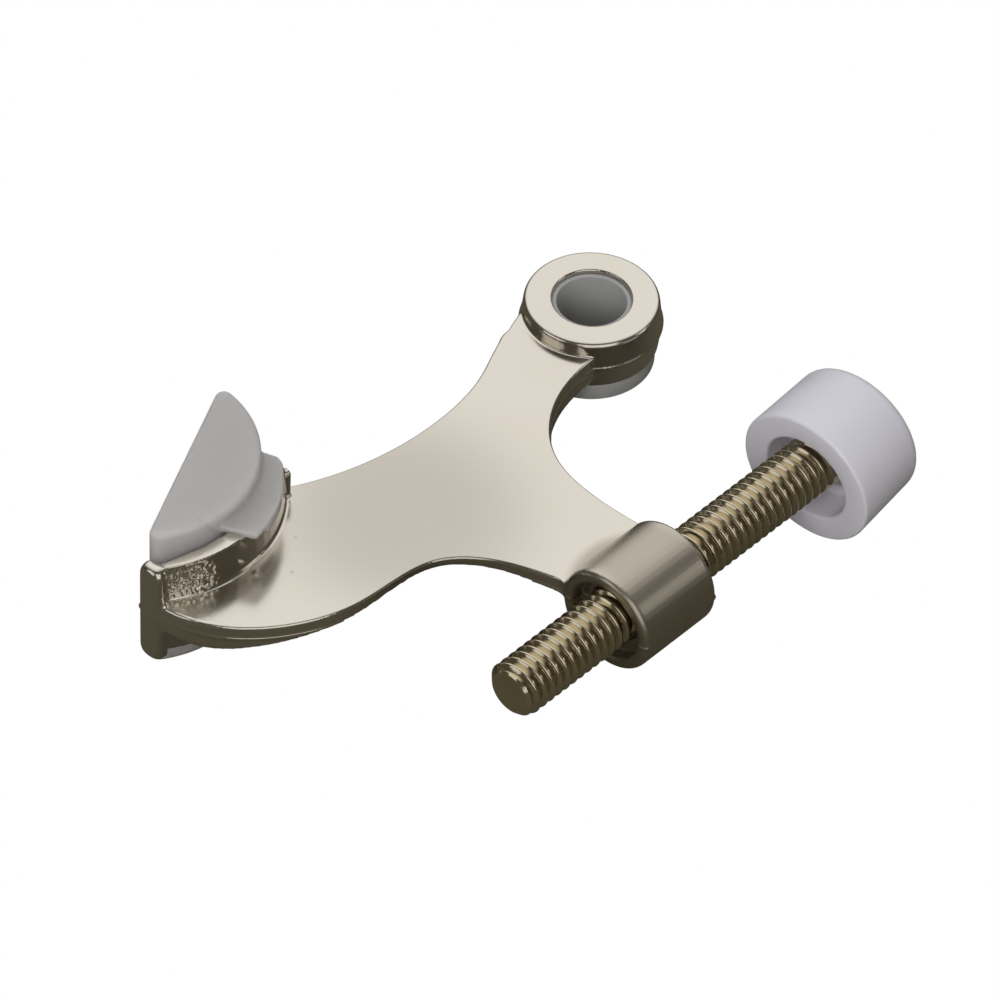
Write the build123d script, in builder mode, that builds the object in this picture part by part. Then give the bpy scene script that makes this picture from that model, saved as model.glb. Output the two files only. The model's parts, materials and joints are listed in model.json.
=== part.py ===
from build123d import *
import math
import os

# An adjustable hinge-pin door stop, in millimetres.
# The origin is on the axis of the hinge pin, at the middle of the eye ring's height.
# +Z is the pin's axis, +X is the stud's axis towards its bumper, and +Y is the side of the pad.

# Eye ring, which drops over the hinge pin
EYE_RADIUS = 9.5
EYE_END_RADIUS = 9.05
EYE_HALF_HEIGHT = 3.9
EYE_BORE_RADIUS = 5.35
EYE_EDGE = 0.7

# Bush in the eye
PIN_BORE_RADIUS = 4.7
BUSH_TOP_DROP = 0.6
BUSH_FLANGE_RADIUS = 8.7
BUSH_FLANGE_THICKNESS = 2.6
BUSH_FLANGE_EDGE = 0.4
BUSH_RIM_EDGE = 0.15

# Web that joins the three arms
WEB_TOP = 1.9
WEB_BOTTOM = -2.9
WEB_EDGE = 0.35
WEB_LOWER_EDGE = 0.9
SCOOP_RADIUS = 150.0
SCOOP_CENTRE = (-48.0, -14.0)
SCOOP_ROOF = 0.6

# Stud and its boss: 5/16 inch, 18 threads per inch
THREAD_RADIUS = 25.4 * 5 / 16 / 2
STUD_LENGTH = 63.5
STUD_START = -57.7
STUD_Y = -39.0
STUD_CHAMFER = 0.8
BOSS_RADIUS = 7.43
BOSS_START = -40.0
BOSS_LENGTH = 13.6
BOSS_EDGE = 0.9
BOSS_RUNNING_GAP = 0.05
BOSS_MOUTH_RADIUS = 5.6
BOSS_MOUTH_DEPTH = 2.0
BOSS_MOUTH_EDGE = 0.5

# Round bumper, which sits a little askew on the end of the stud
BUMPER_NEAR_RADIUS = 10.1
BUMPER_FAR_RADIUS = 9.7
BUMPER_LENGTH = 12.3
BUMPER_EDGE = 1.6
BUMPER_REAR_EDGE = 0.5
BUMPER_CUP_RADIUS = 6.4
BUMPER_CUP_DEPTH = 5.0
BUMPER_SOCKET_RADIUS = 5.0
BUMPER_SOCKET_DEPTH = 8.6
BUMPER_CENTRE = (-1.7, -39.6, -0.95)
BUMPER_AXIS = (0.9959, 0.0687, 0.0588)

# Saddle: a crescent wall with a lip at each end, about the pad's rocking axis
SADDLE_X = -67.1
SADDLE_Y = 18.5
WALL_OUTER = 19.6
WALL_DRAFT = 4.5
WALL_INNER = 16.9
WALL_HALF_HEIGHT = 7.5
SADDLE_LEFT = -79.8
SADDLE_RIGHT = -53.0
LEFT_LIP_FRONT = 5.9
LEFT_LIP_BACK = 1.9
LEFT_LIP_THICKNESS = 1.9
LEFT_LIP_TOP = 7.8
LEFT_LIP_BOTTOM = -8.6
LEFT_LIP_CORNER = 1.5
LEFT_LIP_EDGE = 1.0
RIGHT_LIP_FRONT = 5.6
RIGHT_LIP_BACK = 4.2
RIGHT_LIP_THICKNESS = 1.3
RIGHT_LIP_HALF_HEIGHT = 6.4
RIGHT_LIP_CORNER = 0.6
THINNED_END = ((-77.9, 3.8), (-70.9, 1.8), (-70.9, 6.0), (-77.9, 6.0))

# Rocking pad: a half-moon block with a hooked tab over and under the wall
PAD_RADIUS = 16.2
PAD_FACE = 6.4
PAD_TOP = 10.5
PAD_BOTTOM = -12.6
PAD_AXIS_ANGLE = -64.5
PAD_TIP = 1.2
PAD_EDGE = 0.6
TAB_LEFT = -8.1
TAB_RIGHT = 6.6
TAB_INNER = 14.2
TAB_OUTER = 18.0
TAB_CENTRE = (2.04, -2.5)
TAB_GAP = 0.2
TAB_THICKNESS = 0.9
TAB_LEFT_CORNER = 0.6
TAB_RIGHT_CORNER = 2.4
HOOK_LEFT_ANGLE = 15.0
HOOK_RIGHT_ANGLE = 1.0
HOOK_INNER = 19.4
HOOK_DROP = 1.2

os.makedirs("parts", exist_ok=True)


# --- cast arm -------------------------------------------------------------------------------

stud_axis = Axis((0, STUD_Y, 0), (1, 0, 0))
boss_plane = Plane(origin=(BOSS_START, STUD_Y, 0), x_dir=(0, 1, 0), z_dir=(1, 0, 0))
wall_left = SADDLE_LEFT + LEFT_LIP_EDGE
wall_span = SADDLE_RIGHT - wall_left
wall_middle = (wall_left + SADDLE_RIGHT) / 2
left_lip_height = LEFT_LIP_TOP - LEFT_LIP_BOTTOM
left_lip_centre = ((LEFT_LIP_BACK + LEFT_LIP_FRONT) / 2, (LEFT_LIP_BOTTOM + LEFT_LIP_TOP) / 2)

with BuildPart() as cast_arm:
    # the flat web, from the eye along the saddle arm and round to the boss
    with BuildSketch(Plane.XY.offset(WEB_BOTTOM)):
        with BuildLine():
            Spline((-4.0, 7.8), (-8.0, 6.1), (-13.5, 4.4), (-19.5, 1.9), (-28.0, 0.3), (-37.0, 0.7),
                   (-45.0, 2.6), (-52.5, 6.0))
            Line((-52.5, 6.0), (-60.0, 6.4))
            Line((-60.0, 6.4), (-79.2, 3.4))
            Spline((-79.2, 3.4), (-78.8, -0.6), (-75.9, -6.4), (-69.6, -12.1),
                   (-61.5, -15.4), (-54.0, -16.1), (-48.4, -17.4), (-44.3, -21.0), (-41.6, -25.9),
                   (-39.8, -31.0))
            Line((-39.8, -31.0), (-39.8, STUD_Y))
            Line((-39.8, STUD_Y), (-27.0, STUD_Y))
            Line((-27.0, STUD_Y), (-27.0, -33.4))
            Line((-27.0, -33.4), (-25.0, -31.8))
            Spline((-25.0, -31.8), (-25.3, -23.9), (-23.2, -14.9), (-15.7, -8.4), (-8.4, -6.7), (-4.0, -6.6))
            Line((-4.0, -6.6), (-4.0, 7.8))
        make_face()
    extrude(amount=WEB_TOP - WEB_BOTTOM)
    long_edges = cast_arm.edges().filter_by(GeomType.BSPLINE)
    fillet(long_edges.group_by(Axis.Z)[-1], WEB_EDGE)
    long_edges = cast_arm.edges().filter_by(GeomType.BSPLINE)
    fillet(long_edges.group_by(Axis.Z)[0], WEB_LOWER_EDGE)
    with Locations((SCOOP_CENTRE[0], SCOOP_CENTRE[1], SCOOP_ROOF - SCOOP_RADIUS)):
        Sphere(SCOOP_RADIUS, mode=Mode.SUBTRACT)

    # the eye ring and the boss
    with BuildSketch(Plane.XZ):
        Polygon(
            (0, -EYE_HALF_HEIGHT),
            (EYE_END_RADIUS, -EYE_HALF_HEIGHT),
            (EYE_RADIUS, 0),
            (EYE_END_RADIUS, EYE_HALF_HEIGHT),
            (0, EYE_HALF_HEIGHT),
            align=None,
        )
    revolve(axis=Axis.Z)
    eye_rims = cast_arm.edges().filter_by(GeomType.CIRCLE).filter_by(lambda rim: rim.radius == EYE_END_RADIUS)
    fillet(eye_rims, EYE_EDGE)
    with BuildSketch(Plane.XY) as boss_half:
        with Locations((BOSS_START, STUD_Y)):
            Rectangle(BOSS_LENGTH, BOSS_RADIUS, align=(Align.MIN, Align.MIN))
        fillet(boss_half.vertices().group_by(Axis.Y)[-1], BOSS_EDGE)
    revolve(axis=stud_axis)

    # the crescent wall, cut square at its two ends, with draft above and below
    with BuildSketch(Plane.XY):
        with Locations((SADDLE_X, SADDLE_Y)):
            Circle(WALL_OUTER)
        with Locations((wall_middle, RIGHT_LIP_FRONT)):
            Rectangle(wall_span, 2 * WALL_OUTER, align=(Align.CENTER, Align.MAX), mode=Mode.INTERSECT)
    extrude(amount=WALL_HALF_HEIGHT, both=True, taper=WALL_DRAFT)

    # the lips at the wall's ends
    with BuildPart(mode=Mode.PRIVATE) as left_lip:
        with BuildSketch(Plane.YZ.offset(SADDLE_LEFT)):
            with Locations(left_lip_centre):
                RectangleRounded(LEFT_LIP_FRONT - LEFT_LIP_BACK, left_lip_height, LEFT_LIP_CORNER)
        extrude(amount=LEFT_LIP_THICKNESS)
        fillet(left_lip.faces().sort_by(Axis.X)[0].edges(), LEFT_LIP_EDGE)
    add(left_lip.part)
    with BuildSketch(Plane.YZ.offset(SADDLE_RIGHT - RIGHT_LIP_THICKNESS)):
        with Locations(((RIGHT_LIP_BACK + RIGHT_LIP_FRONT) / 2, 0)):
            RectangleRounded(RIGHT_LIP_FRONT - RIGHT_LIP_BACK, 2 * RIGHT_LIP_HALF_HEIGHT, RIGHT_LIP_CORNER)
    extrude(amount=RIGHT_LIP_THICKNESS)

    # the rocking pad's room, kept clear of the web and the lips, with the wall thinned at its left end
    with BuildSketch(Plane.XY.offset(LEFT_LIP_BOTTOM)):
        with Locations((SADDLE_X, SADDLE_Y)):
            Circle(WALL_INNER)
        Polygon(*THINNED_END, align=None)
    extrude(amount=left_lip_height, mode=Mode.SUBTRACT)

    # the bores: hinge pin bush, stud and the stud's two mouths
    Hole(EYE_BORE_RADIUS)
    with BuildSketch(boss_plane):
        Circle(THREAD_RADIUS + BOSS_RUNNING_GAP)
    extrude(amount=BOSS_LENGTH, mode=Mode.SUBTRACT)
    with BuildSketch(boss_plane):
        Circle(BOSS_MOUTH_RADIUS)
    extrude(amount=BOSS_MOUTH_DEPTH, mode=Mode.SUBTRACT)
    with BuildSketch(boss_plane.offset(BOSS_LENGTH)):
        Circle(BOSS_MOUTH_RADIUS)
    extrude(amount=-BOSS_MOUTH_DEPTH, mode=Mode.SUBTRACT)
    mouths = cast_arm.edges().filter_by(GeomType.CIRCLE).filter_by(lambda rim: rim.radius == BOSS_MOUTH_RADIUS)
    fillet([mouths.sort_by(Axis.X)[0], mouths.sort_by(Axis.X)[-1]], BOSS_MOUTH_EDGE)
cast_arm.part.label = "cast_arm"
export_step(cast_arm.part, "parts/cast_arm.step")


# --- hinge pin bush ---------------------------------------------------------------------------

bush_top = EYE_HALF_HEIGHT - BUSH_TOP_DROP
bush_bottom = -EYE_HALF_HEIGHT - BUSH_FLANGE_THICKNESS

with BuildPart() as hinge_pin_bush:
    with BuildSketch(Plane.XY.offset(bush_bottom)):
        Circle(BUSH_FLANGE_RADIUS)
    extrude(amount=BUSH_FLANGE_THICKNESS)
    fillet(hinge_pin_bush.edges().group_by(Axis.Z)[0], BUSH_FLANGE_EDGE)
    with BuildSketch(Plane.XY.offset(-EYE_HALF_HEIGHT)):
        Circle(EYE_BORE_RADIUS)
    extrude(amount=bush_top + EYE_HALF_HEIGHT)
    chamfer(hinge_pin_bush.edges().group_by(Axis.Z)[-1], BUSH_RIM_EDGE)
    Hole(PIN_BORE_RADIUS)
hinge_pin_bush.part.label = "hinge_pin_bush"
export_step(hinge_pin_bush.part, "parts/hinge_pin_bush.step")


# --- threaded stud ----------------------------------------------------------------------------

stud_plane = Plane(origin=(STUD_START, STUD_Y, 0), x_dir=(0, 1, 0), z_dir=(1, 0, 0))

with BuildPart() as threaded_stud:
    with BuildSketch(stud_plane):
        Circle(THREAD_RADIUS)
    extrude(amount=STUD_LENGTH)
    chamfer(threaded_stud.edges().filter_by(GeomType.CIRCLE), STUD_CHAMFER)
threaded_stud.part.label = "threaded_stud"
export_step(threaded_stud.part, "parts/threaded_stud.step")


# --- round bumper -----------------------------------------------------------------------------

bumper_direction = Vector(*BUMPER_AXIS).normalized()
bumper_origin = Vector(*BUMPER_CENTRE)
bumper_plane = Plane(origin=bumper_origin, x_dir=(0, 1, 0), z_dir=bumper_direction)

with BuildPart() as round_bumper:
    # half of the section, turned about the bumper's own axis
    with BuildSketch(Plane(bumper_plane.origin, x_dir=bumper_plane.x_dir, z_dir=-bumper_plane.y_dir)):
        with BuildLine():
            Polyline(
                (BUMPER_CUP_RADIUS, 0),
                (BUMPER_NEAR_RADIUS, 0),
                (BUMPER_FAR_RADIUS, BUMPER_LENGTH),
                (0, BUMPER_LENGTH),
                (0, BUMPER_SOCKET_DEPTH),
                (BUMPER_SOCKET_RADIUS, BUMPER_SOCKET_DEPTH),
                (BUMPER_SOCKET_RADIUS, BUMPER_CUP_DEPTH),
                (BUMPER_CUP_RADIUS, BUMPER_CUP_DEPTH),
                close=True,
            )
        make_face()
    revolve(axis=Axis(bumper_origin, bumper_direction))
    rims = round_bumper.edges().filter_by(GeomType.CIRCLE).sort_by(Axis(bumper_origin, bumper_direction))
    far_rim = rims[-1]
    near_rims = rims[:2]
    fillet(far_rim, BUMPER_EDGE)
    fillet(near_rims, BUMPER_REAR_EDGE)
round_bumper.part.label = "round_bumper"
export_step(round_bumper.part, "parts/round_bumper.step")


# --- saddle pad -------------------------------------------------------------------------------

pad_plane = Plane(
    origin=(SADDLE_X, SADDLE_Y, 0),
    x_dir=(math.cos(math.radians(PAD_AXIS_ANGLE)), math.sin(math.radians(PAD_AXIS_ANGLE)), 0),
    z_dir=(0, 0, 1),
)
tab_bottom = WALL_HALF_HEIGHT + TAB_GAP
reach = 2 * TAB_OUTER
hook_left = -reach * math.tan(math.radians(HOOK_LEFT_ANGLE))
hook_right = reach * math.tan(math.radians(HOOK_RIGHT_ANGLE))

with BuildPart() as saddle_pad:
    # the half-moon block, flat in front and round behind
    with BuildSketch(pad_plane.offset(PAD_BOTTOM)) as block:
        Circle(PAD_RADIUS)
        with Locations((PAD_FACE + PAD_RADIUS, 0)):
            Rectangle(2 * PAD_RADIUS, reach, mode=Mode.INTERSECT)
        fillet(block.vertices(), PAD_TIP)
    extrude(amount=PAD_TOP - PAD_BOTTOM)
    flat_ends = saddle_pad.faces().filter_by(Axis.Z)
    fillet(flat_ends.edges(), PAD_EDGE)

    # the tabs that lap over the wall, above and below, and their hooks behind it
    for side in (1, -1):
        with BuildSketch(pad_plane.offset(side * tab_bottom)) as tab:
            with Locations(TAB_CENTRE):
                Circle(TAB_OUTER)
            with Locations((0, (TAB_LEFT + TAB_RIGHT) / 2)):
                Rectangle(reach, TAB_RIGHT - TAB_LEFT, align=(Align.MIN, Align.CENTER), mode=Mode.INTERSECT)
            Circle(TAB_INNER, mode=Mode.SUBTRACT)
            left_side = tab.vertices().group_by(Axis.Y)[0]
            fillet(left_side.sort_by(Axis.X)[-1], TAB_LEFT_CORNER)
            right_side = tab.vertices().group_by(Axis.Y)[-1]
            fillet(right_side.sort_by(Axis.X)[-1], TAB_RIGHT_CORNER)
        extrude(amount=side * TAB_THICKNESS)
        with BuildSketch(pad_plane.offset(side * (tab_bottom - HOOK_DROP))):
            with Locations(TAB_CENTRE):
                Circle(TAB_OUTER)
            Polygon((0, 0), (reach, hook_left), (reach, hook_right), align=None, mode=Mode.INTERSECT)
            Circle(HOOK_INNER, mode=Mode.SUBTRACT)
        extrude(amount=side * (HOOK_DROP + TAB_THICKNESS / 2))
saddle_pad.part.label = "saddle_pad"
export_step(saddle_pad.part, "parts/saddle_pad.step")
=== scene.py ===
"""The visual model of a hinge-pin door stop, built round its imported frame."""

import json
import logging
import math
from dataclasses import dataclass, field
from enum import Enum
from typing import Callable, Iterable

import bpy
from mathutils import Matrix, Vector, noise


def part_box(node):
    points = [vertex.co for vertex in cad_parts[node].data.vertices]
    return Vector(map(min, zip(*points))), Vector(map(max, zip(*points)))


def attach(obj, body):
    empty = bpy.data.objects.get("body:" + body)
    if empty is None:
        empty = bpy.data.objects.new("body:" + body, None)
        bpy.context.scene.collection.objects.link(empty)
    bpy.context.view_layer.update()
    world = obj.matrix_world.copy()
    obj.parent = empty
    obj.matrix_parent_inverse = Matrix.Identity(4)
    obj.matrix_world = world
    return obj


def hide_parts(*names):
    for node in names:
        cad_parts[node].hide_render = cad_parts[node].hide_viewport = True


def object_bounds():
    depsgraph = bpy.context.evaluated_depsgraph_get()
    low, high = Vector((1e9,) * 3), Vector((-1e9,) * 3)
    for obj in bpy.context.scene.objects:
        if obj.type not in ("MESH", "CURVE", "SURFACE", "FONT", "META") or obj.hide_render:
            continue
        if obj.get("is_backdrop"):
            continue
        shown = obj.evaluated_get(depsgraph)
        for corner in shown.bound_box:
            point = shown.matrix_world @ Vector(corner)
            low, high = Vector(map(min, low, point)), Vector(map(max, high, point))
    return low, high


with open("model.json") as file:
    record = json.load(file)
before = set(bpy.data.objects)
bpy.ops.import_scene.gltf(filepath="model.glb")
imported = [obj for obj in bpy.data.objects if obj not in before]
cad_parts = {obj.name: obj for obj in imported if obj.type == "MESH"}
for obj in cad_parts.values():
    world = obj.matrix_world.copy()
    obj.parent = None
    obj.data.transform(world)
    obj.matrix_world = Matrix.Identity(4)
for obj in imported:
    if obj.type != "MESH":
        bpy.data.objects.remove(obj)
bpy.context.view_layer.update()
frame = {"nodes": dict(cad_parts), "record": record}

MM = 0.001
CAD_ATTRIBUTES = ("UVMap", "Color", "custom_normal")
MERGE_DISTANCE = 0.002 * MM
SMOOTH_FACTOR = 0.5
SMOOTH_ANGLE = 35.0
NOISE_ROUGHNESS = 0.6
PIT_EDGE = (0.05, 0.16)
PITTED_AREAS = (0.56, 0.64)
GLOSS_AREAS = (0.3, 0.7)
# Painted shade: how much darker the painted shade patch is, and where its fade starts, as a share
# of its reach.
PAINTED_SHADE_FACTOR = 0.80
PAINTED_SHADE_START = 0.2
DULL_START = 0.8

log = logging.getLogger("door_stop")


class Body(Enum):
    """The moving bodies that the pieces ride on."""

    ARM = "arm"
    BUMPER = "bumper"
    STUD = "stud"
    PAD = "pad"


class Slot(Enum):
    """The record's material slots."""

    SATIN_NICKEL = "satin_nickel"
    GREY_NYLON = "grey_nylon"
    PLATED_STEEL = "nickel_plated_steel"
    WHITE_RUBBER = "white_rubber"
    MILKY_RUBBER = "milky_rubber"


# --- shared modelling steps -----------------------------------------------------------------


def deselect() -> None:
    """Leave object mode with nothing selected."""
    if bpy.context.object and bpy.context.object.mode != "OBJECT":
        bpy.ops.object.mode_set(mode="OBJECT")
    bpy.ops.object.select_all(action="DESELECT")


def make_active(piece: bpy.types.Object) -> None:
    """Select only this piece and make it active.

    Args:
        piece: The object.
    """
    deselect()
    piece.select_set(True)
    bpy.context.view_layer.objects.active = piece


def apply_modifiers(piece: bpy.types.Object) -> None:
    """Apply every modifier of a piece, in order.

    Args:
        piece: The object.
    """
    make_active(piece)
    for name in [modifier.name for modifier in piece.modifiers]:
        bpy.ops.object.modifier_apply(modifier=name)


def settle(piece: bpy.types.Object) -> None:
    """Move a piece's place, turn and scale into its mesh.

    Args:
        piece: The object.
    """
    make_active(piece)
    bpy.ops.object.transform_apply(location=True, rotation=True, scale=True)


def clean(piece: bpy.types.Object, distance: float = 1e-6) -> None:
    """Merge doubled points and turn the faces outwards.

    Args:
        piece: The mesh object.
        distance: How near two points are when they are merged, in metres.
    """
    make_active(piece)
    bpy.ops.object.mode_set(mode="EDIT")
    bpy.ops.mesh.select_all(action="SELECT")
    bpy.ops.mesh.remove_doubles(threshold=distance)
    bpy.ops.mesh.normals_make_consistent(inside=False)
    bpy.ops.object.mode_set(mode="OBJECT")


def copy_of_node(node: str, name: str) -> bpy.types.Object:
    """Copy a CAD node's mesh into a new closed piece.

    Args:
        node: The CAD node.
        name: The new piece's name.

    Returns:
        The new object, at the origin, with its points merged.
    """
    piece = bpy.data.objects.new(name, frame["nodes"][node].data.copy())
    piece.data.name = name
    bpy.context.scene.collection.objects.link(piece)
    piece.data.materials.clear()
    attributes = piece.data.attributes
    for attribute in [a.name for a in attributes if a.name in CAD_ATTRIBUTES]:
        attributes.remove(attributes[attribute])
    clean(piece, MERGE_DISTANCE)
    return piece


def remesh(piece: bpy.types.Object, voxel: float, smoothing: int) -> None:
    """Turn a hard-edged solid into an even, soft-edged one, as a mould makes it.

    Args:
        piece: The closed mesh object.
        voxel: The length of the new faces' sides, in metres.
        smoothing: How many rounds of smoothing soften its edges.
    """
    make_active(piece)
    grid = piece.modifiers.new("grid", "REMESH")
    grid.mode = "VOXEL"
    grid.voxel_size = voxel
    grid.use_smooth_shade = True
    if smoothing:
        soft = piece.modifiers.new("soft", "SMOOTH")
        soft.factor = SMOOTH_FACTOR
        soft.iterations = smoothing
    apply_modifiers(piece)


def push(piece: bpy.types.Object, distance: Callable[[Vector, Vector], float]) -> None:
    """Move each point along its normal by a distance worked out from its place and its normal.

    Args:
        piece: The mesh object.
        distance: Gives the distance in metres for a point's place and normal.
    """
    mesh = piece.data
    moved = [
        vertex.co + vertex.normal * distance(vertex.co, vertex.normal)
        for vertex in mesh.vertices
    ]
    for vertex, place in zip(mesh.vertices, moved):
        vertex.co = place
    mesh.update()


def raise_rings(
    name: str, rings: Iterable[tuple[float, float]], sides: int
) -> bpy.types.Object:
    """Grow a round solid about Z by extruding and scaling its cap, ring after ring.

    Args:
        name: The piece's name.
        rings: The (radius, height) of each ring, in metres, from the first cap to the last.
        sides: How many faces go round.

    Returns:
        The new closed piece.
    """
    (radius, height), *later = rings
    deselect()
    bpy.ops.mesh.primitive_circle_add(
        vertices=sides, radius=radius, fill_type="NGON", location=(0, 0, height)
    )
    piece = bpy.context.object
    piece.name = name
    settle(piece)
    bpy.ops.object.mode_set(mode="EDIT")
    bpy.ops.mesh.select_all(action="SELECT")
    for next_radius, next_height in later:
        lift = (0, 0, next_height - height)
        bpy.ops.mesh.extrude_region_move(TRANSFORM_OT_translate={"value": lift})
        growth = next_radius / radius
        bpy.ops.transform.resize(
            value=(growth, growth, 1), center_override=(0, 0, next_height)
        )
        radius, height = next_radius, next_height
    bpy.ops.mesh.select_all(action="SELECT")
    bpy.ops.mesh.normals_make_consistent(inside=False)
    bpy.ops.object.mode_set(mode="OBJECT")
    return piece


def draw_profile(name: str, points: Iterable[tuple[float, float]]) -> bpy.types.Object:
    """Draw an open line in the XZ plane by extruding one point to the next.

    Args:
        name: The piece's name.
        points: The line's points as (x, z), in metres.

    Returns:
        The new object, which holds only the line.
    """
    first, *later = [Vector((x, 0.0, z)) for x, z in points]
    deselect()
    bpy.ops.mesh.primitive_plane_add(size=1.0)
    piece = bpy.context.object
    piece.name = name
    bpy.ops.object.mode_set(mode="EDIT")
    bpy.ops.mesh.select_mode(type="VERT")
    bpy.ops.mesh.select_all(action="SELECT")
    bpy.ops.mesh.merge(type="CENTER")
    bpy.ops.mesh.select_all(action="SELECT")
    bpy.ops.transform.translate(value=first)
    here = first
    for there in later:
        bpy.ops.mesh.extrude_region_move(TRANSFORM_OT_translate={"value": there - here})
        here = there
    bpy.ops.object.mode_set(mode="OBJECT")
    return piece


def keep_inside(piece: bpy.types.Object, node: str) -> None:
    """Press a piece's points back into the box of the CAD node that it stands for.

    Args:
        piece: The mesh object.
        node: The CAD node.
    """
    low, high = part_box(node)
    for vertex in piece.data.vertices:
        vertex.co = Vector(min(max(c, a), b) for c, a, b in zip(vertex.co, low, high))
    piece.data.update()


def count_triangles(piece: bpy.types.Object) -> int:
    """Count the triangles that a piece's faces make.

    Args:
        piece: The mesh object.

    Returns:
        How many there are.
    """
    return sum(len(polygon.vertices) - 2 for polygon in piece.data.polygons)


def thin_out(piece: bpy.types.Object, most: int) -> None:
    """Collapse the flattest faces until a piece is light enough.

    Args:
        piece: The mesh object.
        most: The most triangles that it may keep.
    """
    triangles = count_triangles(piece)
    if triangles > most:
        make_active(piece)
        fewer = piece.modifiers.new("fewer", "DECIMATE")
        fewer.ratio = most / triangles
        apply_modifiers(piece)


def stand_along(piece: bpy.types.Object, start: Vector, direction: Vector) -> None:
    """Turn a piece's Z axis to a direction, move it to its start and settle it.

    Args:
        piece: A piece modelled about Z from the origin.
        start: Where its origin goes.
        direction: Where its Z axis points.
    """
    turn = direction.normalized().to_track_quat("Z", "Y").to_matrix().to_4x4()
    piece.matrix_world = Matrix.Translation(start) @ turn
    settle(piece)


def smooth_faces(piece: bpy.types.Object) -> None:
    """Shade a piece smoothly except across its sharp edges.

    Args:
        piece: The mesh object.
    """
    make_active(piece)
    bpy.ops.object.shade_smooth_by_angle(angle=math.radians(SMOOTH_ANGLE))


# --- shared shading -------------------------------------------------------------------------


def socket(
    group: bpy.types.NodeTree, name: str, kind: str, side: str, value: float | None = None
) -> None:
    """Add a named socket to a node group.

    Args:
        group: The node group.
        name: The socket's name.
        kind: Its type, such as NodeSocketFloat.
        side: INPUT or OUTPUT.
        value: The input's value where nothing is linked.
    """
    made = group.interface.new_socket(name=name, in_out=side, socket_type=kind)
    if value is not None:
        made.default_value = value


def add_range(
    tree: bpy.types.NodeTree,
    value: bpy.types.NodeSocket,
    taken: tuple[float, float],
    given: tuple[float, float] = (0.0, 1.0),
) -> bpy.types.Node:
    """Add a node that maps one range of values to another.

    Args:
        tree: The nodes that it joins.
        value: What it maps.
        taken: The range that the value comes from.
        given: The range that it goes to.

    Returns:
        The new node.
    """
    mapped = tree.nodes.new("ShaderNodeMapRange")
    for side, (low, high) in (("From", taken), ("To", given)):
        mapped.inputs[f"{side} Min"].default_value = low
        mapped.inputs[f"{side} Max"].default_value = high
    tree.links.new(value, mapped.inputs["Value"])
    return mapped


def add_sum(
    tree: bpy.types.NodeTree,
    operation: str,
    first: bpy.types.NodeSocket,
    second: bpy.types.NodeSocket,
) -> bpy.types.NodeSocket:
    """Add a node that works out a value from two others.

    Args:
        tree: The nodes that it joins.
        operation: What it does with them, such as MULTIPLY.
        first: The first value.
        second: The second value.

    Returns:
        The result.
    """
    worked = tree.nodes.new("ShaderNodeMath")
    worked.operation = operation
    tree.links.new(first, worked.inputs[0])
    tree.links.new(second, worked.inputs[1])
    return worked.outputs["Value"]


def build_surface_group() -> bpy.types.NodeTree:
    """Build the group that every finish uses: mottled colour, uneven gloss and fine relief.

    Returns:
        A node group with the inputs Scale, Fine Scale, Pit Scale, and the outputs
        Mottle, Fine, Pits and Height, all from 0 to 1.
    """
    group = bpy.data.node_groups.new("surface", "ShaderNodeTree")
    socket(group, "Scale", "NodeSocketFloat", "INPUT", 120.0)
    socket(group, "Fine Scale", "NodeSocketFloat", "INPUT", 1500.0)
    socket(group, "Pit Scale", "NodeSocketFloat", "INPUT", 500.0)
    for name in ("Mottle", "Fine", "Pits", "Height"):
        socket(group, name, "NodeSocketFloat", "OUTPUT")
    nodes, links = group.nodes, group.links
    start = nodes.new("NodeGroupInput")
    end = nodes.new("NodeGroupOutput")
    place = nodes.new("ShaderNodeTexCoord")

    def clouds(scale_from: str, detail: float) -> bpy.types.Node:
        """Add a noise texture whose scale is one of the group's inputs.

        Args:
            scale_from: The input's name.
            detail: How many finer layers the noise has.

        Returns:
            The new node.
        """
        texture = nodes.new("ShaderNodeTexNoise")
        texture.inputs["Detail"].default_value = detail
        texture.inputs["Roughness"].default_value = NOISE_ROUGHNESS
        links.new(place.outputs["Object"], texture.inputs["Vector"])
        links.new(start.outputs[scale_from], texture.inputs["Scale"])
        return texture

    mottle = clouds("Scale", 3.0)
    fine = clouds("Fine Scale", 2.0)
    pits = nodes.new("ShaderNodeTexVoronoi")
    pits.feature = "F1"
    links.new(place.outputs["Object"], pits.inputs["Vector"])
    links.new(start.outputs["Pit Scale"], pits.inputs["Scale"])
    pit_mask = add_range(group, pits.outputs["Distance"], PIT_EDGE, (1.0, 0.0))
    sparse = add_range(group, mottle.outputs["Fac"], PITTED_AREAS)
    few = add_sum(group, "MULTIPLY", pit_mask.outputs["Result"], sparse.outputs["Result"])
    height = add_sum(group, "SUBTRACT", fine.outputs["Fac"], few)
    links.new(mottle.outputs["Fac"], end.inputs["Mottle"])
    links.new(fine.outputs["Fac"], end.inputs["Fine"])
    links.new(few, end.inputs["Pits"])
    links.new(height, end.inputs["Height"])
    return group


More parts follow.
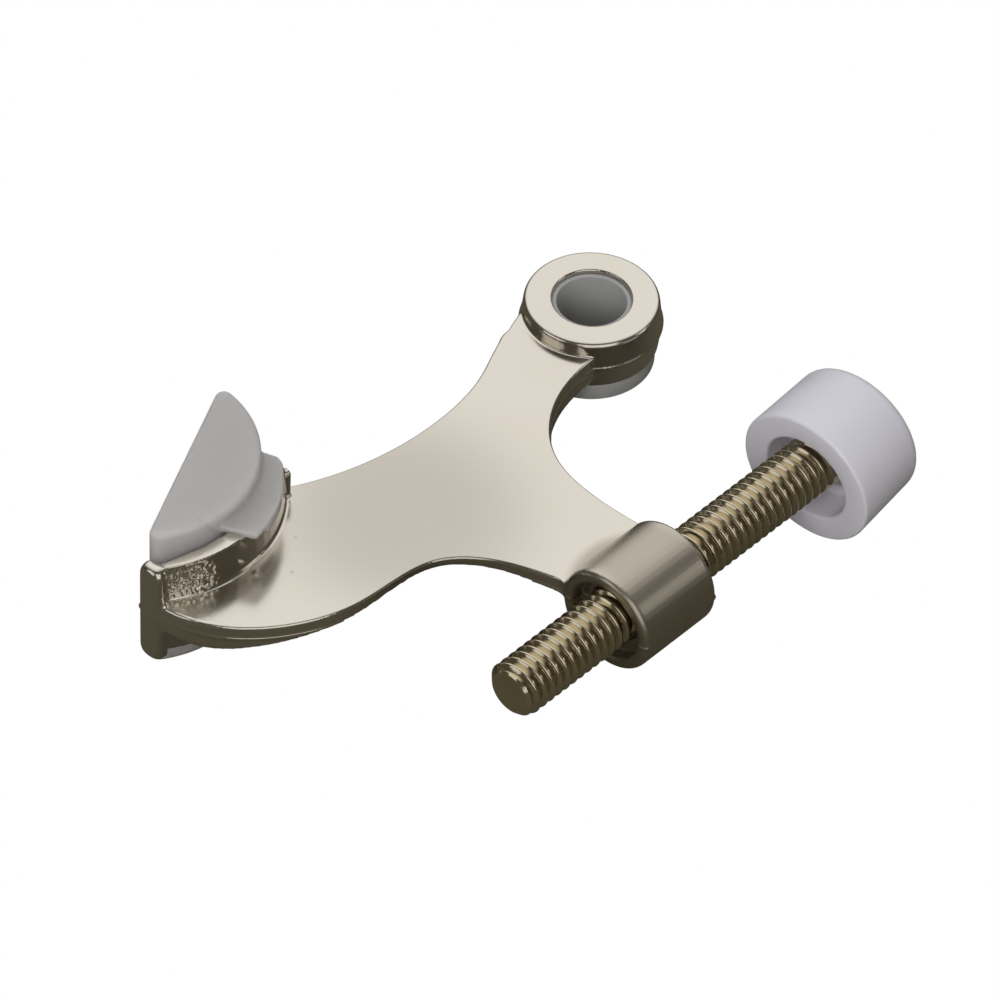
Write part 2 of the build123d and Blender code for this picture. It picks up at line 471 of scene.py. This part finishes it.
@dataclass(frozen=True)
class Finish:
    """A finish whose colour, gloss and relief vary over the surface.

    Attributes:
        name: The material's name.
        light: The colour of its lighter patches.
        dark: The colour of its darker patches.
        metallic: 1 for metal, 0 for plastic and rubber.
        roughness: The lowest and highest roughness.
        scale: How many patches there are in a metre.
        fine_scale: How many grains there are in a metre.
        pit_scale: How many pits there are in a metre.
        relief: The height of the grain, in metres.
        subsurface: How much light passes under the surface.
        subsurface_depth: How far that light goes, in metres.
        specular: The strength of the plain gloss.
        painted_shade_centre: The middle of a patch of painted shade, where the colour is painted
            darker as a dimmer reflection.
        painted_shade_reach: How far the painted shade reaches, in metres, or 0 for none.
        dull_centre: The middle of a patch that is brushed duller, with painted shade darkening
            its colour.
        dull_reach: How far that patch reaches, in metres, or 0 for none.
        dull_roughness: The roughness in that patch.
        dull_shade_colour: The darker colour in that patch, which is painted shade.
    """

    name: str
    light: tuple[float, float, float]
    dark: tuple[float, float, float]
    metallic: float
    roughness: tuple[float, float]
    scale: float = 120.0
    fine_scale: float = 1500.0
    pit_scale: float = 500.0
    relief: float = 0.00002
    subsurface: float = 0.0
    subsurface_depth: float = 0.003
    specular: float = 0.5
    painted_shade_centre: tuple[float, float, float] = (0.0, 0.0, 0.0)
    painted_shade_reach: float = 0.0
    dull_centre: tuple[float, float, float] = (0.0, 0.0, 0.0)
    dull_reach: float = 0.0
    dull_roughness: float = 0.4
    dull_shade_colour: tuple[float, float, float] = (0.5, 0.5, 0.5)

    def build(self, surface: bpy.types.NodeTree) -> bpy.types.Material:
        """Build the material.

        Args:
            surface: The group made by build_surface_group.

        Returns:
            The new material.
        """
        material = bpy.data.materials.new(self.name)
        material.use_nodes = True
        nodes, links = material.node_tree.nodes, material.node_tree.links
        shader = nodes["Principled BSDF"]
        group = nodes.new("ShaderNodeGroup")
        group.node_tree = surface
        group.inputs["Scale"].default_value = self.scale
        group.inputs["Fine Scale"].default_value = self.fine_scale
        group.inputs["Pit Scale"].default_value = self.pit_scale
        tint = nodes.new("ShaderNodeMix")
        tint.data_type = "RGBA"
        tint.inputs["A"].default_value = (*self.dark, 1.0)
        tint.inputs["B"].default_value = (*self.light, 1.0)
        links.new(group.outputs["Mottle"], tint.inputs["Factor"])
        colour = tint.outputs["Result"]
        # painted shade: a darker patch stands in for a dimmer reflection
        if self.painted_shade_reach:
            colour = self.add_painted_shade(material.node_tree, colour)
        links.new(colour, shader.inputs["Base Color"])
        mottle = group.outputs["Mottle"]
        gloss = add_range(material.node_tree, mottle, GLOSS_AREAS, self.roughness)
        links.new(gloss.outputs["Result"], shader.inputs["Roughness"])
        if self.dull_reach:
            self.add_dull_patch(material.node_tree, shader)
        bump = nodes.new("ShaderNodeBump")
        bump.inputs["Strength"].default_value = 1.0
        bump.inputs["Distance"].default_value = self.relief
        links.new(group.outputs["Height"], bump.inputs["Height"])
        links.new(bump.outputs["Normal"], shader.inputs["Normal"])
        shader.inputs["Metallic"].default_value = self.metallic
        shader.inputs["Subsurface Weight"].default_value = self.subsurface
        shader.inputs["Subsurface Radius"].default_value = (1.0, 1.0, 1.0)
        shader.inputs["Subsurface Scale"].default_value = self.subsurface_depth
        shader.inputs["Specular IOR Level"].default_value = self.specular
        return material

    @staticmethod
    def add_fade(
        tree: bpy.types.NodeTree, centre: tuple[float, float, float], start: float, end: float
    ) -> bpy.types.NodeSocket:
        """Make a mask that grows softly from 0 to 1 with the distance from a place.

        Args:
            tree: The material's nodes.
            centre: The place, in metres.
            start: The distance where the mask leaves 0.
            end: The distance where it reaches 1.

        Returns:
            The mask.
        """
        place = tree.nodes.new("ShaderNodeTexCoord")
        apart = tree.nodes.new("ShaderNodeVectorMath")
        apart.operation = "DISTANCE"
        apart.inputs[1].default_value = centre
        tree.links.new(place.outputs["Object"], apart.inputs[0])
        fade = add_range(tree, apart.outputs["Value"], (start, end))
        fade.interpolation_type = "SMOOTHERSTEP"
        return fade.outputs["Result"]

    def add_painted_shade(
        self, tree: bpy.types.NodeTree, colour: bpy.types.NodeSocket
    ) -> bpy.types.NodeSocket:
        """Paint shade into a colour: darken it softly round the middle of the painted shade
        patch, as a dimmer reflection.

        Args:
            tree: The material's nodes.
            colour: The colour away from the patch.

        Returns:
            The colour with the painted shade in it.
        """
        # painted shade: a darker colour in the patch's middle stands in for a dimmer reflection
        shaded = tree.nodes.new("ShaderNodeMix")
        shaded.data_type = "RGBA"
        shaded.inputs["A"].default_value = (*(PAINTED_SHADE_FACTOR * part for part in self.dark), 1.0)
        start = PAINTED_SHADE_START * self.painted_shade_reach
        mask = self.add_fade(tree, self.painted_shade_centre, start, self.painted_shade_reach)
        tree.links.new(mask, shaded.inputs["Factor"])
        tree.links.new(colour, shaded.inputs["B"])
        return shaded.outputs["Result"]

    def add_dull_patch(self, tree: bpy.types.NodeTree, shader: bpy.types.Node) -> None:
        """Roughen the surface softly round the dull patch, and darken its colour there as painted
        shade.

        Args:
            tree: The material's nodes.
            shader: The material's shader, with its colour and roughness linked.
        """
        start = DULL_START * self.dull_reach
        mask = self.add_fade(tree, self.dull_centre, start, self.dull_reach)
        # the higher roughness is the duller finish; the darker colour is painted shade
        duller = {
            "Roughness": ("FLOAT", self.dull_roughness),
            "Base Color": ("RGBA", (*self.dull_shade_colour, 1.0)),
        }
        for name, (kind, value) in duller.items():
            usual = shader.inputs[name].links[0].from_socket
            mixed = tree.nodes.new("ShaderNodeMix")
            mixed.data_type = kind
            ends = [end for end in mixed.inputs if end.enabled and end.name in ("A", "B")]
            ends[0].default_value = value
            tree.links.new(mask, mixed.inputs["Factor"])
            tree.links.new(usual, ends[1])
            result = next(end for end in mixed.outputs if end.enabled)
            tree.links.new(result, shader.inputs[name])


SATIN_NICKEL = Finish(
    "satin nickel", (0.72, 0.675, 0.60), (0.66, 0.61, 0.53), 1.0, (0.15, 0.21),
    scale=60.0, fine_scale=2600.0, relief=0.000004,
    # painted shade: the web top's middle is painted darker as a dimmer reflection
    painted_shade_centre=(-0.045, -0.008, 0.002), painted_shade_reach=0.026,
    dull_centre=(-0.0332, -0.0405, -0.001), dull_reach=0.012, dull_roughness=0.36,
    # painted shade: the boss's colour is painted darker; its higher roughness is the duller
    # finish
    dull_shade_colour=(0.47, 0.425, 0.35),
)
PLATED_STEEL = Finish(
    "brassy nickel", (0.74, 0.66, 0.50), (0.58, 0.51, 0.37), 1.0, (0.08, 0.18),
    scale=420.0, fine_scale=2600.0, relief=0.000008,
)
WHITE_RUBBER = Finish(
    "white rubber", (0.76, 0.745, 0.82), (0.72, 0.705, 0.78), 0.0, (0.42, 0.5),
    scale=140.0, fine_scale=1800.0, relief=0.00001, subsurface=0.35, subsurface_depth=0.002,
)
MILKY_RUBBER = Finish(
    "milky rubber", (0.50, 0.485, 0.485), (0.47, 0.455, 0.455), 0.0, (0.5, 0.6),
    scale=140.0, fine_scale=1500.0, relief=0.000008,
    subsurface=0.9, subsurface_depth=0.008, specular=0.2,
)
GREY_NYLON = Finish(
    "grey nylon", (0.42, 0.42, 0.415), (0.36, 0.36, 0.355), 0.0, (0.35, 0.45),
    scale=200.0, fine_scale=1500.0, relief=0.000008, subsurface=0.3, subsurface_depth=0.002,
)


def finish_piece(
    piece: bpy.types.Object, body: Body, slot: Slot, material: bpy.types.Material, *nodes: str
) -> None:
    """Dress a finished piece and fix it to its body.

    Args:
        piece: The piece, settled at the origin.
        body: The body that it rides on.
        slot: The record's material slot, which is not used.
        material: Its finish.
        nodes: The CAD nodes that it stands for.
    """
    piece.data.materials.clear()
    piece.data.materials.append(material)
    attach(piece, body.value)
    if nodes:
        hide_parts(*nodes)
    log.info("%s: %d triangles on %s", piece.name, count_triangles(piece), body.value)


# --- the arm --------------------------------------------------------------------------------


@dataclass(frozen=True)
class Mark:
    """A small bump (positive) or pit (negative) left by the mould.

    Attributes:
        place: Its middle, in millimetres.
        radius: Its radius, in millimetres.
        rise: How far it stands out, in millimetres.
    """

    place: tuple[float, float, float]
    radius: float
    rise: float


@dataclass
class CastArm:
    """The three-armed casting, with soft edges, a parting line and a rough corner."""

    voxel: float = 0.17 * MM
    smoothing: int = 3
    most_triangles: int = 195000
    lip_start: float = 1.5 * MM
    lip_end: float = 2.0 * MM
    lip_smoothing: int = 60
    parting_height: float = -0.1 * MM
    parting_width: float = 0.19 * MM
    parting_rise: float = 0.19 * MM
    rough_centre: Vector = field(default_factory=lambda: Vector((-74.6, 1.4, 3.4)) * MM)
    rough_reach: float = 4.6 * MM
    rough_rise: float = 0.20 * MM
    rough_floor: float = 2.2 * MM
    rough_grain: float = 1900.0
    rough_octaves: int = 3
    rough_edge: float = 2.5
    upright_falloff: float = 1.6
    border_weight: float = 0.3
    mark_spread: float = 2.0
    marks: tuple[Mark, ...] = (
        Mark((-12.0, 4.6, 1.6), 1.1, 0.16),
        Mark((-10.6, 5.2, 1.2), 0.7, -0.14),
        Mark((-66.3, -2.4, 1.9), 0.45, 0.10),
        Mark((-63.0, -5.2, 1.9), 0.5, -0.08),
        Mark((-58.2, -1.3, 1.9), 0.4, -0.08),
        Mark((-35.4, -16.5, 1.9), 0.45, 0.08),
        Mark((-22.8, -5.4, 1.9), 0.4, -0.08),
    )

    def relief(self, place: Vector, normal: Vector) -> float:
        """Give how far a point of the skin moves out.

        Args:
            place: The point.
            normal: The skin's normal there.

        Returns:
            The distance in metres, positive outwards.
        """
        upright = max(0.0, 1.0 - abs(normal.z) * self.upright_falloff)
        line = math.exp(-(((place.z - self.parting_height) / self.parting_width) ** 2))
        rise = self.parting_rise * line * upright
        near = max(0.0, 1.0 - (place - self.rough_centre).length / self.rough_reach)
        if near > 0 and place.z > self.rough_floor and upright > 0:
            grain = noise.fractal(place * self.rough_grain, 0.7, 2.0, self.rough_octaves)
            rise += self.rough_rise * grain * min(1.0, self.rough_edge * near)
        for mark in self.marks:
            away = (place - Vector(mark.place) * MM).length / (mark.radius * MM)
            if away < self.mark_spread:
                rise += mark.rise * MM * math.exp(-away * away)
        return rise

    def round_lip(self, arm: bpy.types.Object) -> None:
        """Soften the saddle's left lip more than the rest.

        Args:
            arm: The casting.
        """
        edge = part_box("cast_arm")[0].x
        start, end = edge + self.lip_start, edge + self.lip_end
        points = arm.data.vertices
        inside = [vertex.index for vertex in points if vertex.co.x < start]
        border = [vertex.index for vertex in points if start <= vertex.co.x < end]
        lip = arm.vertex_groups.new(name="lip")
        lip.add(inside, 1.0, "REPLACE")
        lip.add(border, self.border_weight, "REPLACE")
        soft = arm.modifiers.new("soft lip", "SMOOTH")
        soft.factor = SMOOTH_FACTOR
        soft.iterations = self.lip_smoothing
        soft.vertex_group = lip.name
        apply_modifiers(arm)

    def build(self, material: bpy.types.Material) -> None:
        """Build the casting.

        Args:
            material: The satin nickel finish.
        """
        arm = copy_of_node("cast_arm", "cast_arm_skin")
        remesh(arm, self.voxel, self.smoothing)
        self.round_lip(arm)
        push(arm, self.relief)
        thin_out(arm, self.most_triangles)
        keep_inside(arm, "cast_arm")
        finish_piece(arm, Body.ARM, Slot.SATIN_NICKEL, material, "cast_arm")


# --- the bush -------------------------------------------------------------------------------


@dataclass
class HingePinBush:
    """The nylon bush in the eye, with its flange below."""

    sides: int = 96
    flange_thickness: float = 2.6 * MM
    shank_radius: float = 5.35 * MM
    edge: float = 0.15 * MM
    bevel_segments: int = 3

    def build(self, material: bpy.types.Material) -> None:
        """Build the bush.

        Args:
            material: The nylon finish.
        """
        low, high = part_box("hinge_pin_bush")
        flange_radius = (high.x - low.x) / 2
        bore = frame["record"]["mounts"][0]["dims"]["r_mm"] * MM
        shoulder = low.z + self.flange_thickness
        rings = [
            (bore, low.z), (flange_radius, low.z), (flange_radius, shoulder),
            (self.shank_radius, shoulder), (self.shank_radius, high.z), (bore, high.z),
        ]
        bush = raise_rings("bush_moulding", rings, self.sides)
        self.open_bore(bush)
        rounding = bush.modifiers.new("rounding", "BEVEL")
        rounding.width = self.edge
        rounding.segments = self.bevel_segments
        rounding.limit_method = "ANGLE"
        apply_modifiers(bush)
        smooth_faces(bush)
        finish_piece(bush, Body.ARM, Slot.GREY_NYLON, material, "hinge_pin_bush")

    def open_bore(self, bush: bpy.types.Object) -> None:
        """Take away the solid bush's two end caps and bridge their rims with the bore's wall.

        Args:
            bush: The solid bush.
        """
        make_active(bush)
        bpy.ops.object.mode_set(mode="EDIT")
        bpy.ops.mesh.select_mode(type="FACE")
        bpy.ops.mesh.select_all(action="DESELECT")
        bpy.ops.mesh.select_face_by_sides(number=self.sides, type="EQUAL")
        bpy.ops.mesh.delete(type="ONLY_FACE")
        bpy.ops.mesh.select_mode(type="EDGE")
        bpy.ops.mesh.select_all(action="DESELECT")
        bpy.ops.mesh.select_non_manifold(extend=False)
        bpy.ops.mesh.bridge_edge_loops()
        bpy.ops.mesh.select_all(action="SELECT")
        bpy.ops.mesh.normals_make_consistent(inside=False)
        bpy.ops.mesh.select_mode(type="VERT")
        bpy.ops.object.mode_set(mode="OBJECT")


# --- the stud -------------------------------------------------------------------------------


@dataclass
class ThreadedStud:
    """The fully threaded stud, with a true right-hand helix of 60 degrees and chamfered ends."""

    pitch: float = 25.4 / 18 * MM
    crest_width: float = 0.38 * MM
    crest_shoulder: float = 0.10 * MM
    crest_curve: float = 0.025 * MM
    crest_places: tuple[float, float, float] = (0.2, 0.5, 0.8)
    root_flat: float = 0.14 * MM
    half_angle: float = math.radians(30)
    steps: int = 64
    end_radius: float = 3.1 * MM
    slack: float = 0.01 * MM
    turns_before: int = 2
    spare_turns: int = 3

    def build(self, material: bpy.types.Material) -> None:
        """Build the stud.

        Args:
            material: The plated finish.
        """
        low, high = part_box("threaded_stud")
        length = high.x - low.x
        crest = (high.z - low.z) / 2
        centre = Vector((low.x, (low.y + high.y) / 2, (low.z + high.z) / 2))
        flank = (self.pitch - self.crest_width - self.root_flat) / 2
        shoulder = crest - self.crest_shoulder
        root = shoulder - flank / math.tan(self.half_angle)
        start = -self.turns_before * self.pitch
        rise = start + self.root_flat + flank
        near, top, far = (rise + part * self.crest_width for part in self.crest_places)
        profile = [
            (root, start), (root, start + self.root_flat), (shoulder, rise),
            (crest - self.crest_curve, near), (crest, top), (crest - self.crest_curve, far),
            (shoulder, rise + self.crest_width), (root, start + self.pitch),
        ]
        stud = draw_profile("threaded_rod", profile)
        helix = stud.modifiers.new("helix", "SCREW")
        helix.axis = "Z"
        helix.angle = math.tau
        helix.screw_offset = self.pitch
        helix.iterations = math.ceil(length / self.pitch) + self.spare_turns
        helix.steps = self.steps
        helix.render_steps = self.steps
        helix.use_merge_vertices = True
        helix.merge_threshold = 1e-6
        apply_modifiers(stud)
        clean(stud, MERGE_DISTANCE)
        bpy.ops.object.mode_set(mode="EDIT")
        for height, side in ((0.0, -1.0), (length, 1.0)):
            bpy.ops.mesh.select_all(action="SELECT")
            bpy.ops.mesh.bisect(
                plane_co=(0, 0, height), plane_no=(0, 0, side),
                use_fill=True, clear_outer=True, threshold=1e-7,
            )
        bpy.ops.mesh.select_all(action="SELECT")
        bpy.ops.mesh.normals_make_consistent(inside=False)
        bpy.ops.object.mode_set(mode="OBJECT")
        self.chamfer_ends(stud, crest, length)
        stand_along(stud, centre, Vector((1, 0, 0)))
        smooth_faces(stud)
        finish_piece(stud, Body.STUD, Slot.PLATED_STEEL, material, "threaded_stud")

    def chamfer_ends(self, stud: bpy.types.Object, crest: float, length: float) -> None:
        """Cut both ends of the thread back to a cone.

        Args:
            stud: The threaded rod, about Z from the origin.
            crest: Its outer radius.
            length: Its length.
        """
        slope = crest - self.end_radius
        outer = crest + self.slack
        rings = [
            (self.end_radius, 0.0), (outer, slope + self.slack),
            (outer, length - slope - self.slack), (self.end_radius, length),
        ]
        blank = raise_rings("blank", rings, self.steps)
        cut = stud.modifiers.new("ends", "BOOLEAN")
        cut.operation = "INTERSECT"
        cut.solver = "EXACT"
        cut.object = blank
        apply_modifiers(stud)
        bpy.data.objects.remove(blank)


# --- the bumper -----------------------------------------------------------------------------


@dataclass
class RoundBumper:
    """The round rubber bumper, hollow behind for the stud."""

    centre: Vector = field(default_factory=lambda: Vector((-1.7, -39.6, -0.95)) * MM)
    direction: Vector = field(default_factory=lambda: Vector((0.9959, 0.0687, 0.0588)))
    near_radius: float = 10.1 * MM
    far_radius: float = 9.7 * MM
    length: float = 12.3 * MM
    far_edge: float = 1.6 * MM
    near_edge: float = 0.45 * MM
    cup_radius: float = 6.4 * MM
    cup_depth: float = 5.0 * MM
    socket_radius: float = 5.0 * MM
    socket_depth: float = 8.6 * MM
    sides: int = 128
    arc_steps: int = 8
    bevel_segments: int = 4
    bevel_angle: float = math.radians(50)

    def build(self, material: bpy.types.Material) -> None:
        """Build the bumper.

        Args:
            material: The white rubber finish.
        """
        inner = self.far_radius - self.far_edge
        below = self.length - self.far_edge
        steps = range(self.arc_steps + 1)
        angles = [math.radians(90 * step / self.arc_steps) for step in steps]
        arc = [
            (inner + self.far_edge * math.cos(angle), below + self.far_edge * math.sin(angle))
            for angle in angles
        ]
        rings = [
            (self.socket_radius, self.socket_depth), (self.socket_radius, self.cup_depth),
            (self.cup_radius, self.cup_depth), (self.cup_radius, 0.0),
            (self.near_radius, 0.0), *arc,
        ]
        bumper = raise_rings("bumper_moulding", rings, self.sides)
        rounding = bumper.modifiers.new("rounding", "BEVEL")
        rounding.width = self.near_edge
        rounding.segments = self.bevel_segments
        rounding.limit_method = "ANGLE"
        rounding.angle_limit = self.bevel_angle
        apply_modifiers(bumper)
        stand_along(bumper, self.centre, self.direction)
        keep_inside(bumper, "round_bumper")
        smooth_faces(bumper)
        finish_piece(bumper, Body.BUMPER, Slot.WHITE_RUBBER, material, "round_bumper")


# --- the pad --------------------------------------------------------------------------------


@dataclass
class SaddlePad:
    """The half-moon pad that rocks in the saddle, with a small nick in its round edge."""

    voxel: float = 0.2 * MM
    smoothing: int = 5
    most_triangles: int = 190000
    nick: tuple[tuple[float, float, float], ...] = (
        (-70.29, 3.80, 10.5), (-70.45, 2.65, 10.4), (-68.79, 2.39, 7.8),
    )
    nick_width: float = 0.16 * MM
    nick_depth: float = 0.24 * MM
    nick_reach: float = 5.0 * MM

    def groove(self, place: Vector, normal: Vector) -> float:
        """Give how far a point of the skin moves out, which is inwards along the nick.

        Args:
            place: The point.
            normal: The skin's normal there.

        Returns:
            The distance in metres, positive outwards.
        """
        corners = [Vector(corner) * MM for corner in self.nick]
        if (place - corners[1]).length > self.nick_reach:
            return 0.0
        nearest = min(self.away(place, start, end) for start, end in zip(corners, corners[1:]))
        return -self.nick_depth * math.exp(-((nearest / self.nick_width) ** 2))

    @staticmethod
    def away(place: Vector, start: Vector, end: Vector) -> float:
        """Give how far a point is from a straight line between two others.

        Args:
            place: The point.
            start: The line's start.
            end: The line's end.

        Returns:
            The distance in metres.
        """
        along = end - start
        part = min(1.0, max(0.0, (place - start).dot(along) / along.length_squared))
        return (place - start - along * part).length

    def build(self, material: bpy.types.Material) -> None:
        """Build the pad.

        Args:
            material: The milky rubber finish.
        """
        pad = copy_of_node("saddle_pad", "pad_moulding")
        remesh(pad, self.voxel, self.smoothing)
        push(pad, self.groove)
        thin_out(pad, self.most_triangles)
        keep_inside(pad, "saddle_pad")
        finish_piece(pad, Body.PAD, Slot.MILKY_RUBBER, material, "saddle_pad")


# --- the studio -----------------------------------------------------------------------------


@dataclass(frozen=True)
class Lamp:
    """One soft square lamp that points at the stop.

    Attributes:
        name: The lamp's name.
        toward: The direction from the stop to the lamp.
        size: The length of its side, in metres.
        power: Its power in watts.
        mirrored: Whether polished metal shows it.
    """

    name: str
    toward: tuple[float, float, float]
    size: float
    power: float
    mirrored: bool = True


LAMPS = (
    Lamp("front", (-0.45, -0.68, 0.48), 0.80, 1.7),
    Lamp("side", (-0.80, 0.30, 0.50), 0.45, 0.5),
    Lamp("right", (0.55, -0.65, 0.35), 0.22, 0.22),
    Lamp("matt", (-0.68, -0.32, 0.66), 0.45, 2.9, mirrored=False),
)


@dataclass
class Studio:
    """The floor, lights and camera."""

    right: Vector = field(default_factory=lambda: Vector((0.68204, -0.73090, 0.02459)))
    up: Vector = field(default_factory=lambda: Vector((0.50712, 0.49691, 0.70420)))
    target: Vector = field(default_factory=lambda: Vector((-33.04, -14.31, -0.26)) * MM)
    distance: float = 1.15
    frame_width: float = 0.13004
    sensor: float = 36.0
    nearest_seen: float = 0.01
    lamp_distance: float = 0.8
    floor_size: float = 6.0
    floor_colour: tuple[float, ...] = (0.13, 0.12, 0.09, 1.0)
    floor_roughness: float = 0.9
    glow: Vector = field(default_factory=lambda: Vector((0.527, 0.468, 0.710)))
    sky_strength: float = 1.05
    sky_ramp: tuple[tuple[float, tuple[float, ...]], ...] = (
        (0.55, (0.075, 0.07, 0.055, 1.0)),
        (0.93, (1.0, 1.0, 1.0, 1.0)),
    )

    def build(self) -> None:
        """Set the floor, the lights, the sky and the camera."""
        bpy.context.scene.view_settings.view_transform = "Standard"
        self.add_floor()
        self.add_sky()
        for lamp in LAMPS:
            self.add_lamp(lamp)
        self.add_camera()

    def add_floor(self) -> None:
        """Lay a white floor at the stop's lowest point, which throws little light back up."""
        low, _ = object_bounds()
        deselect()
        bpy.ops.mesh.primitive_grid_add(
            x_subdivisions=4, y_subdivisions=4, size=self.floor_size, location=(0, 0, low[2])
        )
        floor = bpy.context.object
        floor.name = "floor"
        material = bpy.data.materials.new("pale floor")
        material.use_nodes = True
        nodes, links = material.node_tree.nodes, material.node_tree.links
        dim = nodes["Principled BSDF"]
        dim.inputs["Base Color"].default_value = self.floor_colour
        dim.inputs["Roughness"].default_value = self.floor_roughness
        dim.inputs["Specular IOR Level"].default_value = 0.0
        seen = nodes.new("ShaderNodeEmission")
        seen.inputs["Color"].default_value = (1.0, 1.0, 1.0, 1.0)
        path = nodes.new("ShaderNodeLightPath")
        mix = nodes.new("ShaderNodeMixShader")
        links.new(path.outputs["Is Camera Ray"], mix.inputs["Fac"])
        links.new(dim.outputs["BSDF"], mix.inputs[1])
        links.new(seen.outputs["Emission"], mix.inputs[2])
        links.new(mix.outputs["Shader"], nodes["Material Output"].inputs["Surface"])
        floor.data.materials.append(material)
        floor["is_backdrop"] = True

    def add_sky(self) -> None:
        """Light the room from one broad soft glow, and keep the rest of it dim."""
        world = bpy.data.worlds.new("studio")
        bpy.context.scene.world = world
        world.use_nodes = True
        nodes, links = world.node_tree.nodes, world.node_tree.links
        place = nodes.new("ShaderNodeTexCoord")
        toward = nodes.new("ShaderNodeVectorMath")
        toward.operation = "DOT_PRODUCT"
        toward.inputs[1].default_value = self.glow
        ramp = nodes.new("ShaderNodeValToRGB")
        ramp.color_ramp.interpolation = "EASE"
        for element, (position, colour) in zip(ramp.color_ramp.elements, self.sky_ramp):
            element.position = position
            element.color = colour
        links.new(place.outputs["Generated"], toward.inputs[0])
        links.new(toward.outputs["Value"], ramp.inputs["Fac"])
        links.new(ramp.outputs["Color"], nodes["Background"].inputs["Color"])
        nodes["Background"].inputs["Strength"].default_value = self.sky_strength

    def add_lamp(self, lamp: Lamp) -> None:
        """Hang one lamp.

        Args:
            lamp: The lamp.
        """
        light = bpy.data.lights.new(lamp.name, "AREA")
        light.shape = "SQUARE"
        light.size = lamp.size
        light.energy = lamp.power
        hung = bpy.data.objects.new(lamp.name, light)
        bpy.context.scene.collection.objects.link(hung)
        hung.visible_glossy = lamp.mirrored
        hung.location = self.target + Vector(lamp.toward).normalized() * self.lamp_distance
        hung.rotation_euler = (self.target - hung.location).to_track_quat("-Z", "Y").to_euler()

    def add_camera(self) -> None:
        """Add the camera, looking down at the stop from behind its pad."""
        back = self.right.cross(self.up).normalized()
        camera = bpy.data.cameras.new("camera")
        camera.sensor_width = self.sensor
        camera.lens = self.sensor * self.distance / self.frame_width
        camera.clip_start = self.nearest_seen
        held = bpy.data.objects.new("camera", camera)
        bpy.context.scene.collection.objects.link(held)
        turn = Matrix((self.right.normalized(), self.up.normalized(), back)).transposed().to_4x4()
        held.matrix_world = Matrix.Translation(self.target + back * self.distance) @ turn
        bpy.context.scene.camera = held


def main() -> None:
    """Build every piece in order, then the studio."""
    logging.basicConfig(level=logging.INFO, format="%(message)s")
    surface = build_surface_group()
    CastArm().build(SATIN_NICKEL.build(surface))
    HingePinBush().build(GREY_NYLON.build(surface))
    ThreadedStud().build(PLATED_STEEL.build(surface))
    RoundBumper().build(WHITE_RUBBER.build(surface))
    SaddlePad().build(MILKY_RUBBER.build(surface))
    Studio().build()


if __name__ == "__main__":
    main()
